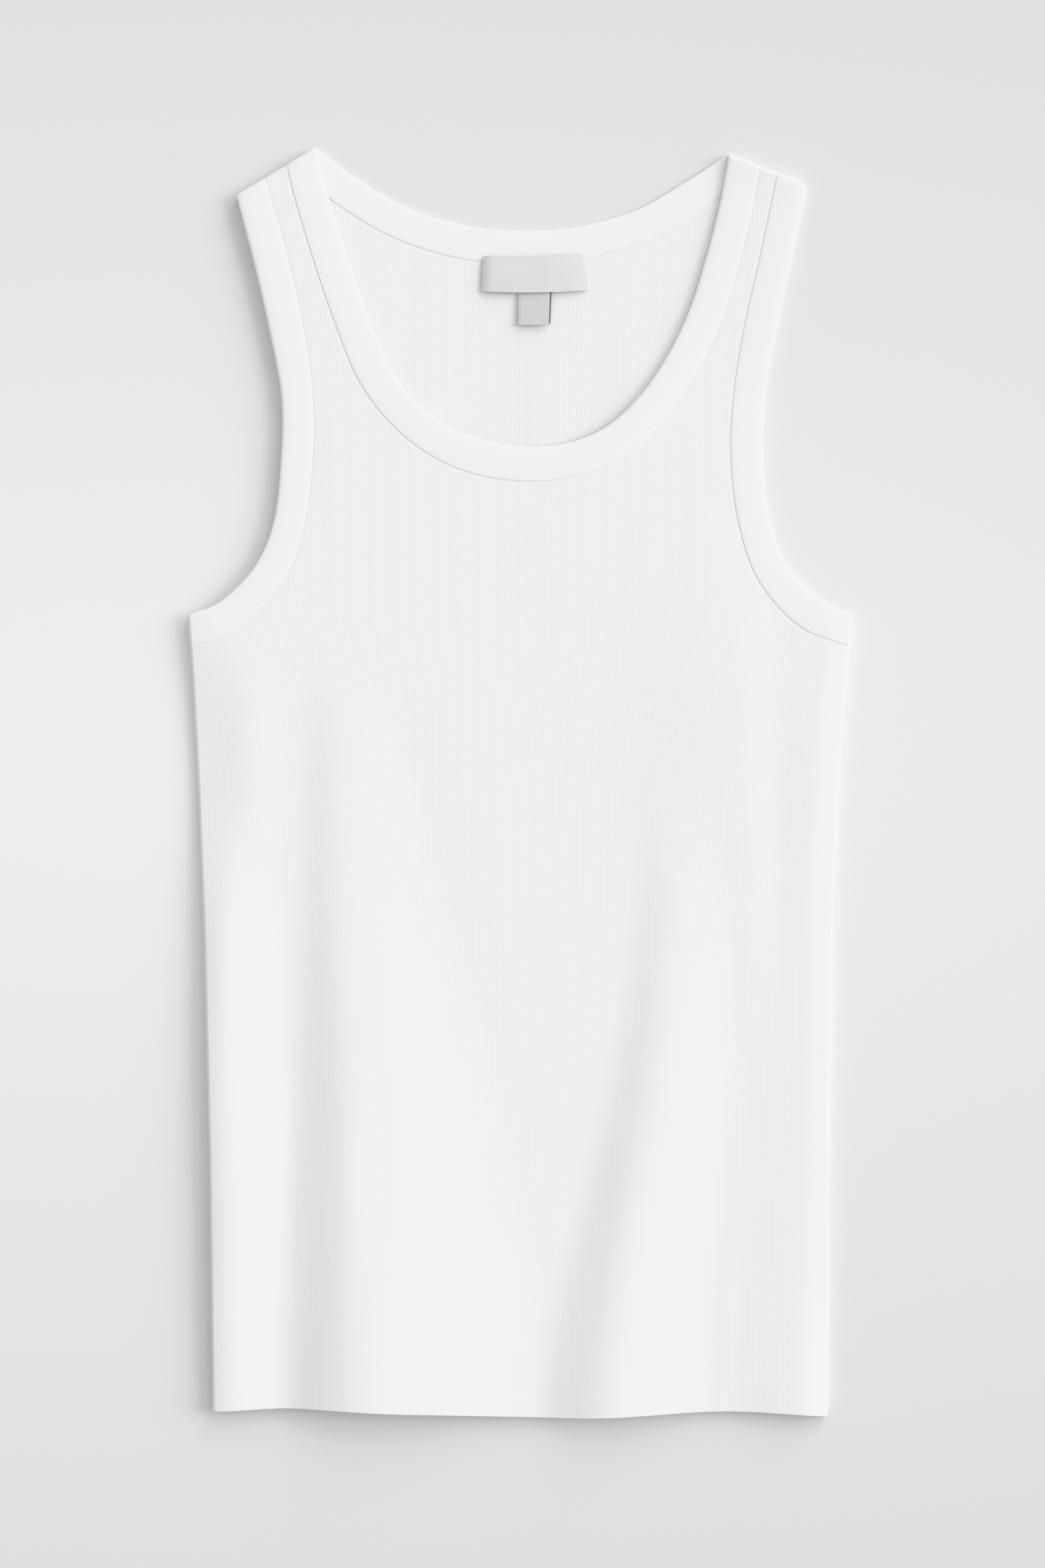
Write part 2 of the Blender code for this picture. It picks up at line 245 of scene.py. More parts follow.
# Small creases: x and y of one end, x and y of the other, height (a hollow is negative), half width
CREASE_TAPER = 1.35
FRONT_CREASES = (
    (-130.0, 76.0, -127.0, -50.0, 0.55, 13.0),
    (122.0, 60.0, 126.0, -120.0, -0.2, 12.0),
    (112.0, 400.0, 92.0, 110.0, -1.05, 44.0),
    (104.0, 310.0, 34.0, 158.0, -0.4, 13.0),
    (-60.0, 96.0, 20.0, -190.0, 0.25, 26.0),
    (-8.0, -210.0, -24.0, -300.0, 0.5, 16.0),
    (-122.0, -180.0, -126.0, -296.0, -0.35, 10.0),
    (92.0, 150.0, 84.0, 60.0, 0.16, 10.0),
    (-92.0, 190.0, -88.0, 110.0, 0.14, 8.0),
    (60.0, 132.0, 18.0, 112.0, -0.12, 9.0),
)
BACK_CREASES = (
    (-40.0, 210.0, -52.0, 130.0, 0.16, 10.0),
    (14.0, 226.0, 8.0, 120.0, 0.22, 12.0),
    (52.0, 220.0, 60.0, 140.0, 0.15, 9.0),
    (-100.0, -40.0, -108.0, -210.0, 0.25, 14.0),
    (104.0, 20.0, 112.0, -230.0, 0.28, 13.0),
    (10.0, -120.0, 4.0, -280.0, 0.2, 12.0),
)

# Label and tab inside the back neck: corners x, y from the lower left round to the upper left
LABEL = ((-18.7, 235.2), (32.9, 235.8), (29.8, 253.8), (-17.9, 252.4))
LABEL_SAG = 0.9
TAB = ((-1.0, 219.0), (14.3, 219.2), (15.0, 236.6), (-1.0, 236.6))
TAB_SAG = 0.0
# Width of a near-black strip down the tab's right edge
TAB_DARK_STRIP = 0.55
TAPE_WALL = 0.35
TAPE_CORNER = 1.3
# Heights of their upper faces, and how far each end turns, slopes or lifts. Places are shares across or up.
LABEL_LEVEL = 3.25
LABEL_TOP_DROP = 0.25
LABEL_TOP_START = 0.4
LABEL_LEFT_DROP = 0.95
LABEL_LEFT_TURN = 0.085
LABEL_RIGHT_DROP = 1.05
LABEL_CORNER_DROP = 0.2
LABEL_SLOPE_START = 0.62
LABEL_SLOPE_POWER = 1.4
LABEL_WAVE = 0.12
LABEL_WAVE_TURNS = 8.5
LABEL_LIFT = 0.2
LABEL_LIFT_PLACE = 0.87
LABEL_LIFT_WIDTH = 0.08
LABEL_LIFT_TOP = 0.5
TAB_LEVEL = 2.1
TAB_TILT = 0.3
TAB_LIFT = 1.0
TAB_LEFT_DROP = 0.12
TAB_LEFT_TURN = 0.1

# How far each panel's face stands off the middle of the fold, where the front meets the back
PANEL_CLEARANCE = 0.08
# Seams: a panel's edge is tucked under its band, and lies a little low beside it
PANEL_TUCK = 0.7
DITCH_DEPTH = 0.12
DITCH_REACH = 1.2
# How much of the ditch the inner face's own height makes up
DITCH_FILLED = 0.4
SEAM_RUN_ON = 30.0

# How the meshes are divided
POINTS_A_RIB = 4
ROW_STEP = 9.6
HEM_STEPS = (0.0, 0.4, 1.2, 4.0)
FOLD_PARTS = 8
SEAM_LINES = (0.0, 0.6, 1.2, 2.0, 3.2)
SHOULDER_LINES = (0.05, 0.2, 0.5, 0.95, 1.5, 2.1, 2.8)
SNAP = 0.02
BAND_STEP = 0.5
SEAM_POINTS = 600
BAND_POINTS = 1200
TAPE_STEP = 1.0
TAPE_CORNER_STEPS = (0.0, 0.15, 0.35, 0.6, 0.9)
AREA_RIBS = 20

# Across a band from its seam to its free edge: share, how far the outer face and the inner face lie inside
BAND_PROFILE = (
    (0.0, 0.3, 1.05),
    (0.012, 0.14, 1.3),
    (0.035, 0.04, 1.42),
    (0.075, 0.0, 1.49),
    (0.16, -0.04, 1.5),
    (0.3, -0.07, 1.5),
    (0.5, -0.08, 1.5),
    (0.7, -0.06, 1.5),
    (0.85, -0.01, 1.5),
    (0.93, 0.08, 1.46),
    (0.97, 0.22, 1.36),
    (0.99, 0.4, 1.2),
    (1.0, 0.65, 0.95),
)
BAND_PROUD = 0.18
STRAP_CORNER = 6.0

# Knit: grey tones of a rib's crest and of its groove, whose darker tone is painted shade, height of the bump
# in metres, and its V stitches, with painted shade among them, and fuzz. The body's tones sit a little below
# the band's as painted shade of its deeper ribs.
# A noise's scale is its waves a metre.
BODY_CREST_AND_SHADED_GROOVE_TONES = (0.842, 0.812)
BODY_BUMP = 0.00002
BAND_CREST_AND_SHADED_GROOVE_TONES = (0.854, 0.848)
BAND_BUMP = 0.00001
STITCH_SLANT = 1.3
STITCH_WANDER = 0.5
WANDER_SCALE = 260.0
# Painted shade among the V stitches
STITCH_SHADE = 0.18
GROOVE_SHARPNESS = 2.5
GROOVE_ROUNDING = 0.2
CLOUDINESS = 0.3
CLOUD_SCALE = 14.0
FUZZ_SHARE = 0.5
FUZZ_SCALE = 2600.0
FUZZ_DETAIL = 3.0
KNIT_SURFACE = {
    "Roughness": 0.92,
    "Specular IOR Level": 0.25,
    "Sheen Weight": 0.12,
    "Sheen Roughness": 0.6,
}

# Tapes: grey tones of warp and weft, height of the bump in metres, and the weave's steps in millimetres
LABEL_TONES = (0.685, 0.725)
TAB_TONES = (0.6, 0.64)
# Tone of the near-black strip down the tab's right edge
DARK_STRIP_TONE = 0.05
TAPE_BUMP = 0.00002
WARP_STEP = 0.3
WEFT_STEP = 0.22
WEAVE_SHARE = 0.4
STREAK_SHARE = 0.5
STREAK_SCALE = 700.0
TAPE_SURFACE = {"Roughness": 0.5, "Sheen Weight": 0.1}

# The surface below, in metres, with a painted pool of light a touch left of the middle, darker away from it
FLOOR_SIZE = 6.0
FLOOR_POOL_TONES = (0.83, 0.70)
FLOOR_POOL_MIDDLE = (-0.14, 0.02, 0.0)
FLOOR_POOL_SQUEEZE = (0.4, 1.0, 1.0)
FLOOR_POOL_FADE = 0.42
FLOOR_GRAIN = 900.0
FLOOR_BUMP = 0.00004
FLOOR_SURFACE = {"Roughness": 0.9, "Specular IOR Level": 0.2}

# Soft lights: strength, elevation, direction in degrees from +X towards +Y, angle across
LIGHTS = {
    "key": (2.2, 20.5, 10.0, 30.0),
    "upper_key": (1.3, 20.0, 58.0, 34.0),
}
FILL_STRENGTH = 0.655
# The picture's curve, with a soft shoulder: light, tone
HIGHEST_LIGHT = 1.6
CURVE_TONES = ((0.84, 0.84), (0.9, 0.884), (1.0, 0.906), (1.2, 0.93), (HIGHEST_LIGHT, 0.95))

# The camera, in metres, and its sensor in millimetres
CAMERA_HEIGHT = 1.6
PICTURE_MIDDLE = (0.0011, -0.0008)
PICTURE_LENGTH = 0.7526
CLIP_START = 0.05
SENSOR = 36.0


def ease(share):
    """0 to 1 with level ends."""
    share = np.clip(share, 0.0, 1.0)
    return share * share * (3 - 2 * share)


def curve_at(rows, places):
    """Points of a smooth curve through the rows of a table, at fractional row numbers."""
    rows = np.asarray(rows, float)
    rows = np.vstack([2 * rows[0] - rows[1], rows, 2 * rows[-1] - rows[-2]])
    first = np.clip(np.floor(places).astype(int), 0, len(rows) - 4)
    t = (places - first)[..., None]
    p0, p1, p2, p3 = (rows[first + step] for step in range(4))
    return 0.5 * (
        2 * p1
        + (p2 - p0) * t
        + (2 * p0 - 5 * p1 + 4 * p2 - p3) * t**2
        + (3 * p1 - p0 - 3 * p2 + p3) * t**3
    )


def down_table(rows, y):
    """The columns of a table whose first column is y, from the top down, on a smooth curve."""
    levels = -np.array([row[0] for row in rows])
    places = np.interp(-y, levels, np.arange(len(rows)))
    return np.moveaxis(curve_at([row[1:] for row in rows], places), -1, 0)


def side_x(y):
    heights, left, right = np.array(SIDES).T
    return np.interp(y, heights, left), np.interp(y, heights, right)


def hem_y(x):
    places = np.interp(x, [row[0] for row in HEM], np.arange(len(HEM)))
    return curve_at(HEM, places)[..., 1]


def below_shoulder(x, y, neck, outer):
    """Distance from a point to the line of a shoulder fold."""
    slope = (outer[1] - neck[1]) / (outer[0] - neck[0])
    return (neck[1] + slope * (x - neck[0]) - y) / math.hypot(1, slope)


def shoulder_distance(x, y):
    return np.minimum(below_shoulder(x, y, *LEFT_SHOULDER), below_shoulder(x, y, *RIGHT_SHOULDER))


def side_distance(x, y):
    left, right = side_x(y)
    return np.minimum(x - left, right - x)


def fold_distance(x, y):
    """Distance to the nearest side or shoulder fold."""
    return np.minimum(side_distance(x, y), shoulder_distance(x, y)).clip(0.0)


def at_folds(x, y, side_rows, on_shoulder):
    """The value of a side fold's table on the body, passing to the shoulders' value on the straps."""
    left, right = down_table(side_rows, y)
    side = np.where(x < 0, left, right)
    share = ease((y - CHEST_LEVEL) / (ARMHOLE_MIDDLE_LEVEL - CHEST_LEVEL))
    return side + (on_shoulder - side) * share


def fold_middle(x, y):
    """Height of the middle of the fold, where the front turns into the back."""
    return at_folds(x, y, SIDE_FOLD_MIDDLES, SHOULDER_FOLD_MIDDLE)


def ridge(x, y, rows):
    crest, height, left, right = down_table(rows, y)
    away = x - crest
    share = np.clip(np.where(away < 0, away / left, away / right), -1.0, 1.0)
    return np.maximum(height, 0.0) * (y < rows[0][0]) * 0.5 * (1 + np.cos(math.pi * share))


def side_rise(x, y):
    left, right = side_x(y)
    on_left, on_right = down_table(SIDE_RISE, y)
    return on_left * (1 - ease((x - left - SIDE_PLATEAU) / SIDE_FLANK[0])) + on_right * (
        1 - ease((right - x - SIDE_PLATEAU) / SIDE_FLANK[1])
    )


def creases(x, y, rows):
    """Soft ridges and hollows, each along a short line and fading out at its ends."""
    total = np.zeros_like(x)
    for x0, y0, x1, y1, height, width in rows:
        length = math.hypot(x1 - x0, y1 - y0)
        along = ((x - x0) * (x1 - x0) + (y - y0) * (y1 - y0)) / length**2
        aside = ((x - x0) * (y1 - y0) - (y - y0) * (x1 - x0)) / length
        taper = ease(CREASE_TAPER * (1 - abs(2 * along - 1)))
        total += height * taper * np.exp(-((aside / width) ** 2))
    return total


def crown(x, y):
    """Height of the front's outer face, away from the folds at its edges."""
    on_chest = ease((y - WAIST_LEVEL) / (CHEST_LEVEL - WAIST_LEVEL))
    level = TROUGH_HEIGHT + (STRAP_HEIGHT - TROUGH_HEIGHT) * on_chest
    ridges = sum(ridge(x, y, rows) for rows in FRONT_RIDGES)
    return level + side_rise(x, y) + ridges + creases(x, y, FRONT_CREASES)


def turned(x, y):
    """How far the cloth has turned out of the fold at its edge: 0 at the middle of the fold, 1 past it."""
    reach = at_folds(x, y, SIDE_FOLD_REACHES, SHOULDER_FOLD_REACH)
    share = np.clip(fold_distance(x, y) / reach, 0.0, 1.0)
    return np.sqrt(1 - (1 - share) ** 2)


def front_face(x, y):
    """Height of the front's outer face: a round fold at the edge, then a slope up to the crown."""
    middle = fold_middle(x, y)
    reach = at_folds(x, y, SIDE_REACHES, SHOULDER_REACH)
    slope_part = np.sin(np.clip(fold_distance(x, y) / reach, 0.0, 1.0) * math.pi / 2)
    return middle * (1 + turned(x, y)) + (crown(x, y) - 2 * middle) * slope_part


def back_face(x, y):
    """Height of the back's outer face, which lies in soft arches and turns up into the folds."""
    arches = sum(ridge(x, y, rows) for rows in BACK_RIDGES) + creases(x, y, BACK_CREASES)
    return fold_middle(x, y) * (1 - turned(x, y)) + arches * turned(x, y)


def seam_line(rows):
    """Dense points of a band's seam, run on past both ends."""
    points = curve_at(rows, np.linspace(0, len(rows) - 1, SEAM_POINTS))[:, 2:]
    start = points[0] + (points[0] - points[2]) / math.dist(points[0], points[2]) * SEAM_RUN_ON
    end = points[-1] + (points[-1] - points[-3]) / math.dist(points[-1], points[-3]) * SEAM_RUN_ON
    return np.vstack([start, points, end])


def distance_from(line, x, y, across):
    """Signed distance to a line that runs one way along y (across = 0) or along x (across = 1)."""
    line = line[np.argsort(line[:, 1 - across])]
    slope = np.gradient(line[:, across], line[:, 1 - across])
    place, value = (y, x) if across == 0 else (x, y)
    gap = value - np.interp(place, line[:, 1 - across], line[:, across])
    return gap / np.hypot(1, np.interp(place, line[:, 1 - across], slope))


def seam_distance(neck_rows):
    """A function of x and y: the distance from a panel's point to its nearest bound edge."""
    left, right, neck = map(seam_line, (LEFT_ARMHOLE, RIGHT_ARMHOLE, neck_rows))

    def distance(x, y):
        armholes = np.minimum(distance_from(left, x, y, 0), -distance_from(right, x, y, 0))
        return np.minimum(armholes, -distance_from(neck, x, y, 1)) + PANEL_TUCK

    return distance


def flat_grid(ribs, hem_rise):
    """The panel before its neck and armholes are cut: rows from fold to fold, closer at the folds."""
    mesh = bmesh.new()
    width = SIDES[-1][2] - SIDES[-1][1]
    fold = SIDE_FOLD_REACH * (1 - np.cos(np.linspace(0, math.pi / 2, FOLD_PARTS + 1))) / width
    even = np.linspace(0, 1, ribs * POINTS_A_RIB + 1)
    step = even[1] / 2
    even = even[(even > fold[-1] + step) & (even < 1 - fold[-1] - step)]
    share = np.concatenate([fold, even, 1 - fold[::-1]])
    bottom, top = HEM[0][1], LEFT_SHOULDER[0][1] + 2
    upward = np.arange(bottom + HEM_STEPS[-1], top + ROW_STEP, ROW_STEP)
    levels = np.concatenate([bottom + np.array(HEM_STEPS[:-1]), upward])
    rows = []
    for level in levels:
        left, right = side_x(level)
        x = left + (right - left) * share
        fade = np.clip((CHEST_LEVEL - level) / (CHEST_LEVEL - bottom), 0.0, 1.0) ** 3
        y = level + (hem_y(x) - bottom + hem_rise) * fade
        rows.append([mesh.verts.new((a, b, 0.0)) for a, b in zip(x, y)])
    for row, above in zip(rows, rows[1:]):
        for a, b, c, d in zip(row, row[1:], above[1:], above):
            mesh.faces.new((a, b, c, d))
    return mesh


def flat_points(mesh):
    return np.array([v.co for v in mesh.verts], float)[:, :2].T


def cut(mesh, distance, level, drop=False):
    """Splits faces along the line where the distance is level, and drops what lies beyond it."""
    value = distance(*flat_points(mesh)) - level
    mesh.verts.index_update()
    on_line = {v for v, off in zip(mesh.verts, value) if abs(off) < SNAP}
    for edge in list(mesh.edges):
        a, b = edge.verts
        off_a, off_b = value[a.index], value[b.index]
        if off_a * off_b < 0 and a not in on_line and b not in on_line:
            on_line.add(bmesh.utils.edge_split(edge, a, off_a / (off_a - off_b))[1])
    for face in {face for v in on_line for face in v.link_faces}:
        ends = [v for v in face.verts if v in on_line]
        if len(ends) == 2 and not any(edge.other_vert(ends[0]) is ends[1] for edge in ends[0].link_edges):
            bmesh.utils.face_split(face, *ends)
    if drop:
        middles = np.array([face.calc_center_median() for face in mesh.faces], float)
        outside = distance(middles[:, 0], middles[:, 1]) < level
        bmesh.ops.delete(mesh, geom=[f for f, out in zip(mesh.faces, outside) if out], context="FACES")


def rib_number(x, y, ribs):
    left, right = side_x(y)
    return (x - left) / (right - left) * ribs


def rib_height(x, y, ribs, height):
    """Vertical ribs, a little uneven from one stretch of cloth to the next."""
    narrow, sway, tall, lean = UNEVEN_STEPS
    stretches = np.sin(x / narrow + UNEVEN_SWAY * np.sin(y / sway)) * np.sin(y / tall + x / lean)
    uneven = 1 + RIB_UNEVENNESS * stretches
    fade = ease(fold_distance(x, y) / RIB_FADE)
    return 0.5 * height * uneven * fade * np.cos(2 * math.pi * rib_number(x, y, ribs))


def panel(name, neck_rows, ribs, hem_rise, face, clearance, material):
    """A rib-knit wall cut to the armholes and the neck, its edges under the bands. The back's faces down."""
    mesh = flat_grid(ribs, hem_rise)
    to_seam = seam_distance(neck_rows)
    cut(mesh, to_seam, SEAM_LINES[0], drop=True)
    cut(mesh, shoulder_distance, 0.0, drop=True)
    for level in SEAM_LINES[1:]:
        cut(mesh, to_seam, level)
    for level in SHOULDER_LINES:
        cut(mesh, shoulder_distance, level)
    x, y = flat_points(mesh)
    upward = clearance > 0
    ditch = DITCH_DEPTH * (1 - ease((to_seam(x, y) - PANEL_TUCK / 2) / DITCH_REACH))
    relief = rib_height(x, y, ribs, RIB_HEIGHT if upward else INNER_RIB_HEIGHT)
    z = face(x, y) + clearance * (1 - turned(x, y)) + relief - ditch
    if not upward:
        z = np.maximum(z + DITCH_DEPTH * DITCH_FILLED + INNER_RIB_HEIGHT / 2, 0.0)
        bmesh.ops.reverse_faces(mesh, faces=mesh.faces)
    for v, height in zip(mesh.verts, z):
        v.co.z = height
    columns = rib_number(x, y, ribs)
    cloth = finished(name, mesh, np.column_stack([columns, y / COURSE]), material)
    add_wall(cloth, PANEL_WALL)
    return cloth


def finished(name, mesh, texture_places, material):
    """An object from a mesh in millimetres, with its texture coordinates."""
    mesh.verts.index_update()
    layer = mesh.loops.layers.uv.new(UV_NAME)
    for face in mesh.faces:
        for loop in face.loops:
            loop[layer].uv = texture_places[loop.vert.index]
    data = bpy.data.meshes.new(name)
    mesh.to_mesh(data)
    mesh.free()
    data.transform(((MM, 0, 0, 0), (0, MM, 0, 0), (0, 0, MM, 0), (0, 0, 0, 1)))
    data.shade_smooth()
    data.materials.append(material)
    piece = bpy.data.objects.new(name, data)
    bpy.context.scene.collection.objects.link(piece)
    return piece


def add_wall(piece, thickness):
    """Gives a face its thickness, on its inner side."""
    wall = piece.modifiers.new("wall", "SOLIDIFY")
    wall.thickness = thickness * MM
    wall.offset = -1.0


def band_places(rows, fold_at_start, fold_at_end):
    """Row numbers of a band's sections, evenly spaced, and closer where it folds over."""
    dense = np.linspace(0, len(rows) - 1, BAND_POINTS)
    points = curve_at(rows, dense)
    middle = (points[:, :2] + points[:, 2:]) / 2
    run = np.concatenate([[0.0], np.cumsum(np.linalg.norm(np.diff(middle, axis=0), axis=1))])
    round_part = 1 - np.cos(np.linspace(0, math.pi / 2, FOLD_PARTS + 1))
    start = round_part * fold_at_start
    end = run[-1] - round_part[::-1] * fold_at_end
    steps = int((end[0] - start[-1]) / BAND_STEP)
    even = np.linspace(start[-1], end[0], steps + 1)[1:-1]
    return np.interp(np.concatenate([start, even, end]), run, dense)


def band_side(rows, places, face):
    """Points of one side of a band: a row from seam to free edge at each section."""
    edge, seam = np.split(curve_at(rows, places), 2, axis=1)
    share = np.array([row[0] for row in BAND_PROFILE])[None, :, None]
    flat = seam[:, None] + (edge - seam)[:, None] * share
    height = face(flat[..., 0], flat[..., 1])
    if rows is RIGHT_ARMHOLE:
        flat = strap_corner(flat)
    return np.dstack([flat, height])


def strap_corner(flat):
    """Rounds the outer corner of the right strap, where the band folds over."""
    corner = np.array(RIGHT_SHOULDER[1])
    ends = np.array((RIGHT_SHOULDER[0], RIGHT_ARMHOLE[1][:2]))
    axes = np.column_stack([(end - corner) / math.dist(end, corner) for end in ends])
    u, v = np.moveaxis((flat - corner) @ np.linalg.inv(axes).T, -1, 0)
    return np.stack(rounded(u, v, STRAP_CORNER), axis=-1) @ axes.T + corner


def band(name, front, back, material):
    """A bound edge: one ring round the front and the back, with round edges and a rib across it."""
    ring = np.concatenate([front, back])
    following, before = np.roll(ring, -1, axis=0), np.roll(ring, 1, axis=0)
    normal = np.cross(following - before, np.gradient(ring, axis=1))
    normal /= np.linalg.norm(normal, axis=2, keepdims=True)
    if normal[len(front) // 2, 0, 2] < 0:
        normal = -normal
    middle = ring[:, len(BAND_PROFILE) // 2]
    run = np.cumsum(np.linalg.norm(middle - np.roll(middle, 1, axis=0), axis=1))
    count = round(run[-1] / BAND_RIB)
    ribs = run / run[-1] * count
    share, outer, inner = np.array(BAND_PROFILE).T
    flat_part = np.sin(math.pi * share) ** 0.5
    relief = 0.5 * BAND_RIB_HEIGHT * np.cos(2 * math.pi * ribs)[:, None] * flat_part
    facing = normal[..., 2]
    proud = BAND_PROUD * np.clip(facing, 0.0, 1.0)
    outside = ring + normal * (proud - outer + relief * (0.5 + 0.5 * facing))[..., None]
    inside = ring + normal * (proud - inner - relief * (2 - facing))[..., None]
    loop = np.concatenate([outside, inside[:, ::-1]], axis=1)
    loop[..., 2] = np.maximum(loop[..., 2], 0.0)
    across = np.concatenate([share, 2 - share[::-1]]) * BAND_AT_SHOULDER / COURSE
    mesh = bmesh.new()
    verts = [[mesh.verts.new(point) for point in section] for section in loop]
    for row, after in zip(verts, verts[1:] + verts[:1]):
        for a, b, c, d in zip(row, row[1:] + row[:1], after[1:] + after[:1], after):
            mesh.faces.new((a, b, c, d))
    bmesh.ops.recalc_face_normals(mesh, faces=mesh.faces)
    counts = np.repeat(ribs, len(across))
    places = np.column_stack([counts, np.tile(across, len(ribs))])
    piece = finished(name, mesh, places, material)
    return piece, run[-1]


def neck_ring():
    fold = SHOULDER_FOLD_REACH
    front = band_side(FRONT_NECK, band_places(FRONT_NECK, fold, fold), front_face)
    back = band_side(BACK_NECK, band_places(BACK_NECK, fold, fold)[::-1], back_face)
    return front, back[1:-1]


def armhole_ring(rows):
    places = band_places(rows, SHOULDER_FOLD_REACH, SIDE_FOLD_REACH)
    return band_side(rows, places, front_face), band_side(rows, places[::-1], back_face)[1:-1]


def rounded(u, v, radius):
    """Moves points in the square corner at the origin onto a quarter of a disc."""
    du, dv = radius - u, radius - v
    near = (du > 0) & (dv > 0)
    scale = np.where(near, np.maximum(du, dv) / np.maximum(np.hypot(du, dv), 1e-9), 1.0)
    return radius - du * scale, radius - dv * scale


def tape_shares(length):
    """Shares along a tape's side, closer at its rounded ends."""
    end = np.array([*TAPE_CORNER_STEPS, TAPE_CORNER])
    even = np.linspace(TAPE_CORNER, length - TAPE_CORNER, round(length / TAPE_STEP))[1:-1]
    return np.concatenate([end, even, length - end[::-1]]) / length


def tape(name, corners, sag, shape, material):
    """A small woven tape with rounded corners. Its shape gives heights from shares across and up."""
    corners = np.array(corners)
    width, height = math.dist(*corners[:2]), math.dist(*corners[1:3])
    across, up = np.meshgrid(tape_shares(width), tape_shares(height))
    over, along = np.minimum(across, 1 - across) * width, np.minimum(up, 1 - up) * height
    over, along = rounded(over, along, TAPE_CORNER)
    over = np.where(across < 0.5, over / width, 1 - over / width)
    along = np.where(up < 0.5, along / height, 1 - along / height)
    low, high = (
        first + (second - first) * over[..., None]
        for first, second in ((corners[0], corners[1]), (corners[3], corners[2]))
    )
    flat = low + (high - low) * along[..., None]
    flat[..., 1] -= sag * np.sin(math.pi * over)
    mesh = bmesh.new()
    grid = [[mesh.verts.new(point) for point in row] for row in np.dstack([flat, shape(over, along)])]
    for row, above in zip(grid, grid[1:]):
        for a, b, c, d in zip(row, row[1:], above[1:], above):
            mesh.faces.new((a, b, c, d))
    # Millimetres from the right edge and from the bottom
    places = np.column_stack([(over.ravel() - 1) * width, along.ravel() * height])
    piece = finished(name, mesh, places, material)
    add_wall(piece, TAPE_WALL)
    return piece, width, height


def label_shape(across, up):
    """A low arch off the cloth: its left end turns under, its right end slopes down to the cloth."""
    level = LABEL_LEVEL - LABEL_TOP_DROP * ease((up - LABEL_TOP_START) / (1 - LABEL_TOP_START))
    left = LABEL_LEFT_DROP * (1 - np.sin(np.clip(across / LABEL_LEFT_TURN, 0.0, 1.0) * math.pi / 2))
    sloping = np.clip((across - LABEL_SLOPE_START) / (1 - LABEL_SLOPE_START), 0.0, 1.0)
    right = (LABEL_RIGHT_DROP + LABEL_CORNER_DROP * (1 - up)) * sloping**LABEL_SLOPE_POWER
    wave = LABEL_WAVE * np.sin(across * LABEL_WAVE_TURNS) * np.sin(up * math.pi)
    aside = (across - LABEL_LIFT_PLACE) / LABEL_LIFT_WIDTH
    lifted = LABEL_LIFT * np.exp(-(aside**2)) * (1 - ease(up / LABEL_LIFT_TOP))
    return level - left - right + wave + lifted


def tab_shape(across, up):
    """Hangs from under the label and stands a little off the cloth at its free end."""
    left = TAB_LEFT_DROP * (1 - ease(across / TAB_LEFT_TURN))
    return TAB_LEVEL + TAB_TILT * across + TAB_LIFT * (1 - up) - left


class Nodes:
    """A material's node tree, with a short way to add and link nodes. Most calls give back an output."""

    def __init__(self, name):
        self.material = bpy.data.materials.new(name)
        self.material.use_nodes = True
        self.tree = self.material.node_tree
        self.shader = self.tree.nodes["Principled BSDF"]

    def feed(self, socket, value):
        if isinstance(value, bpy.types.NodeSocket):
            self.tree.links.new(value, socket)
        else:
            socket.default_value = value

    def math(self, operation, *values):
        node = self.tree.nodes.new("ShaderNodeMath")
        node.operation = operation
        for socket, value in zip(node.inputs, values):
            self.feed(socket, value)
        return node.outputs[0]

    def mixed(self, share, first, last):
        """A colour between two, by a share: each is a grey tone or an output."""
        node = self.tree.nodes.new("ShaderNodeMix")
        node.data_type = "RGBA"
        self.feed(node.inputs[0], share)
        for socket, colour in ((node.inputs[6], first), (node.inputs[7], last)):
            self.feed(socket, (colour, colour, colour, 1.0) if isinstance(colour, float) else colour)
        return node.outputs[2]

    def bump(self, height, distance):
        """Feeds the shader a normal that is bumped by a height from 0 to 1."""
        node = self.tree.nodes.new("ShaderNodeBump")
        node.inputs["Distance"].default_value = distance
        self.feed(node.inputs["Height"], height)
        self.feed(self.shader.inputs["Normal"], node.outputs[0])

    def noise(self, scale, detail=2.0):
        """Noise fixed to the object, with this many waves a metre."""
        node = self.tree.nodes.new("ShaderNodeTexNoise")
        node.inputs["Scale"].default_value = scale
        node.inputs["Detail"].default_value = detail
        self.feed(node.inputs["Vector"], self.place())
        return node.outputs["Fac"]

    def place(self):
        return self.tree.nodes.new("ShaderNodeTexCoord").outputs["Object"]

    def knit_places(self):
        """The two texture coordinates that finished() laid on the mesh."""
        uv = self.tree.nodes.new("ShaderNodeUVMap")
        uv.uv_map = UV_NAME
        parts = self.tree.nodes.new("ShaderNodeSeparateXYZ")
        self.feed(parts.inputs[0], uv.outputs[0])
        return parts.outputs[0], parts.outputs[1]

    def vector(self, operation, first, second=None):
        node = self.tree.nodes.new("ShaderNodeVectorMath")
        node.operation = operation
        self.feed(node.inputs[0], first)
        if second is not None:
            node.inputs[1].default_value = second
        return node.outputs["Value" if operation == "LENGTH" else "Vector"]

    def finish(self, colour, settings):
        """Gives the shader its colour and its other settings."""
        self.feed(self.shader.inputs["Base Color"], colour)
        for name, value in settings.items():
            self.shader.inputs[name].default_value = value
        return self.material


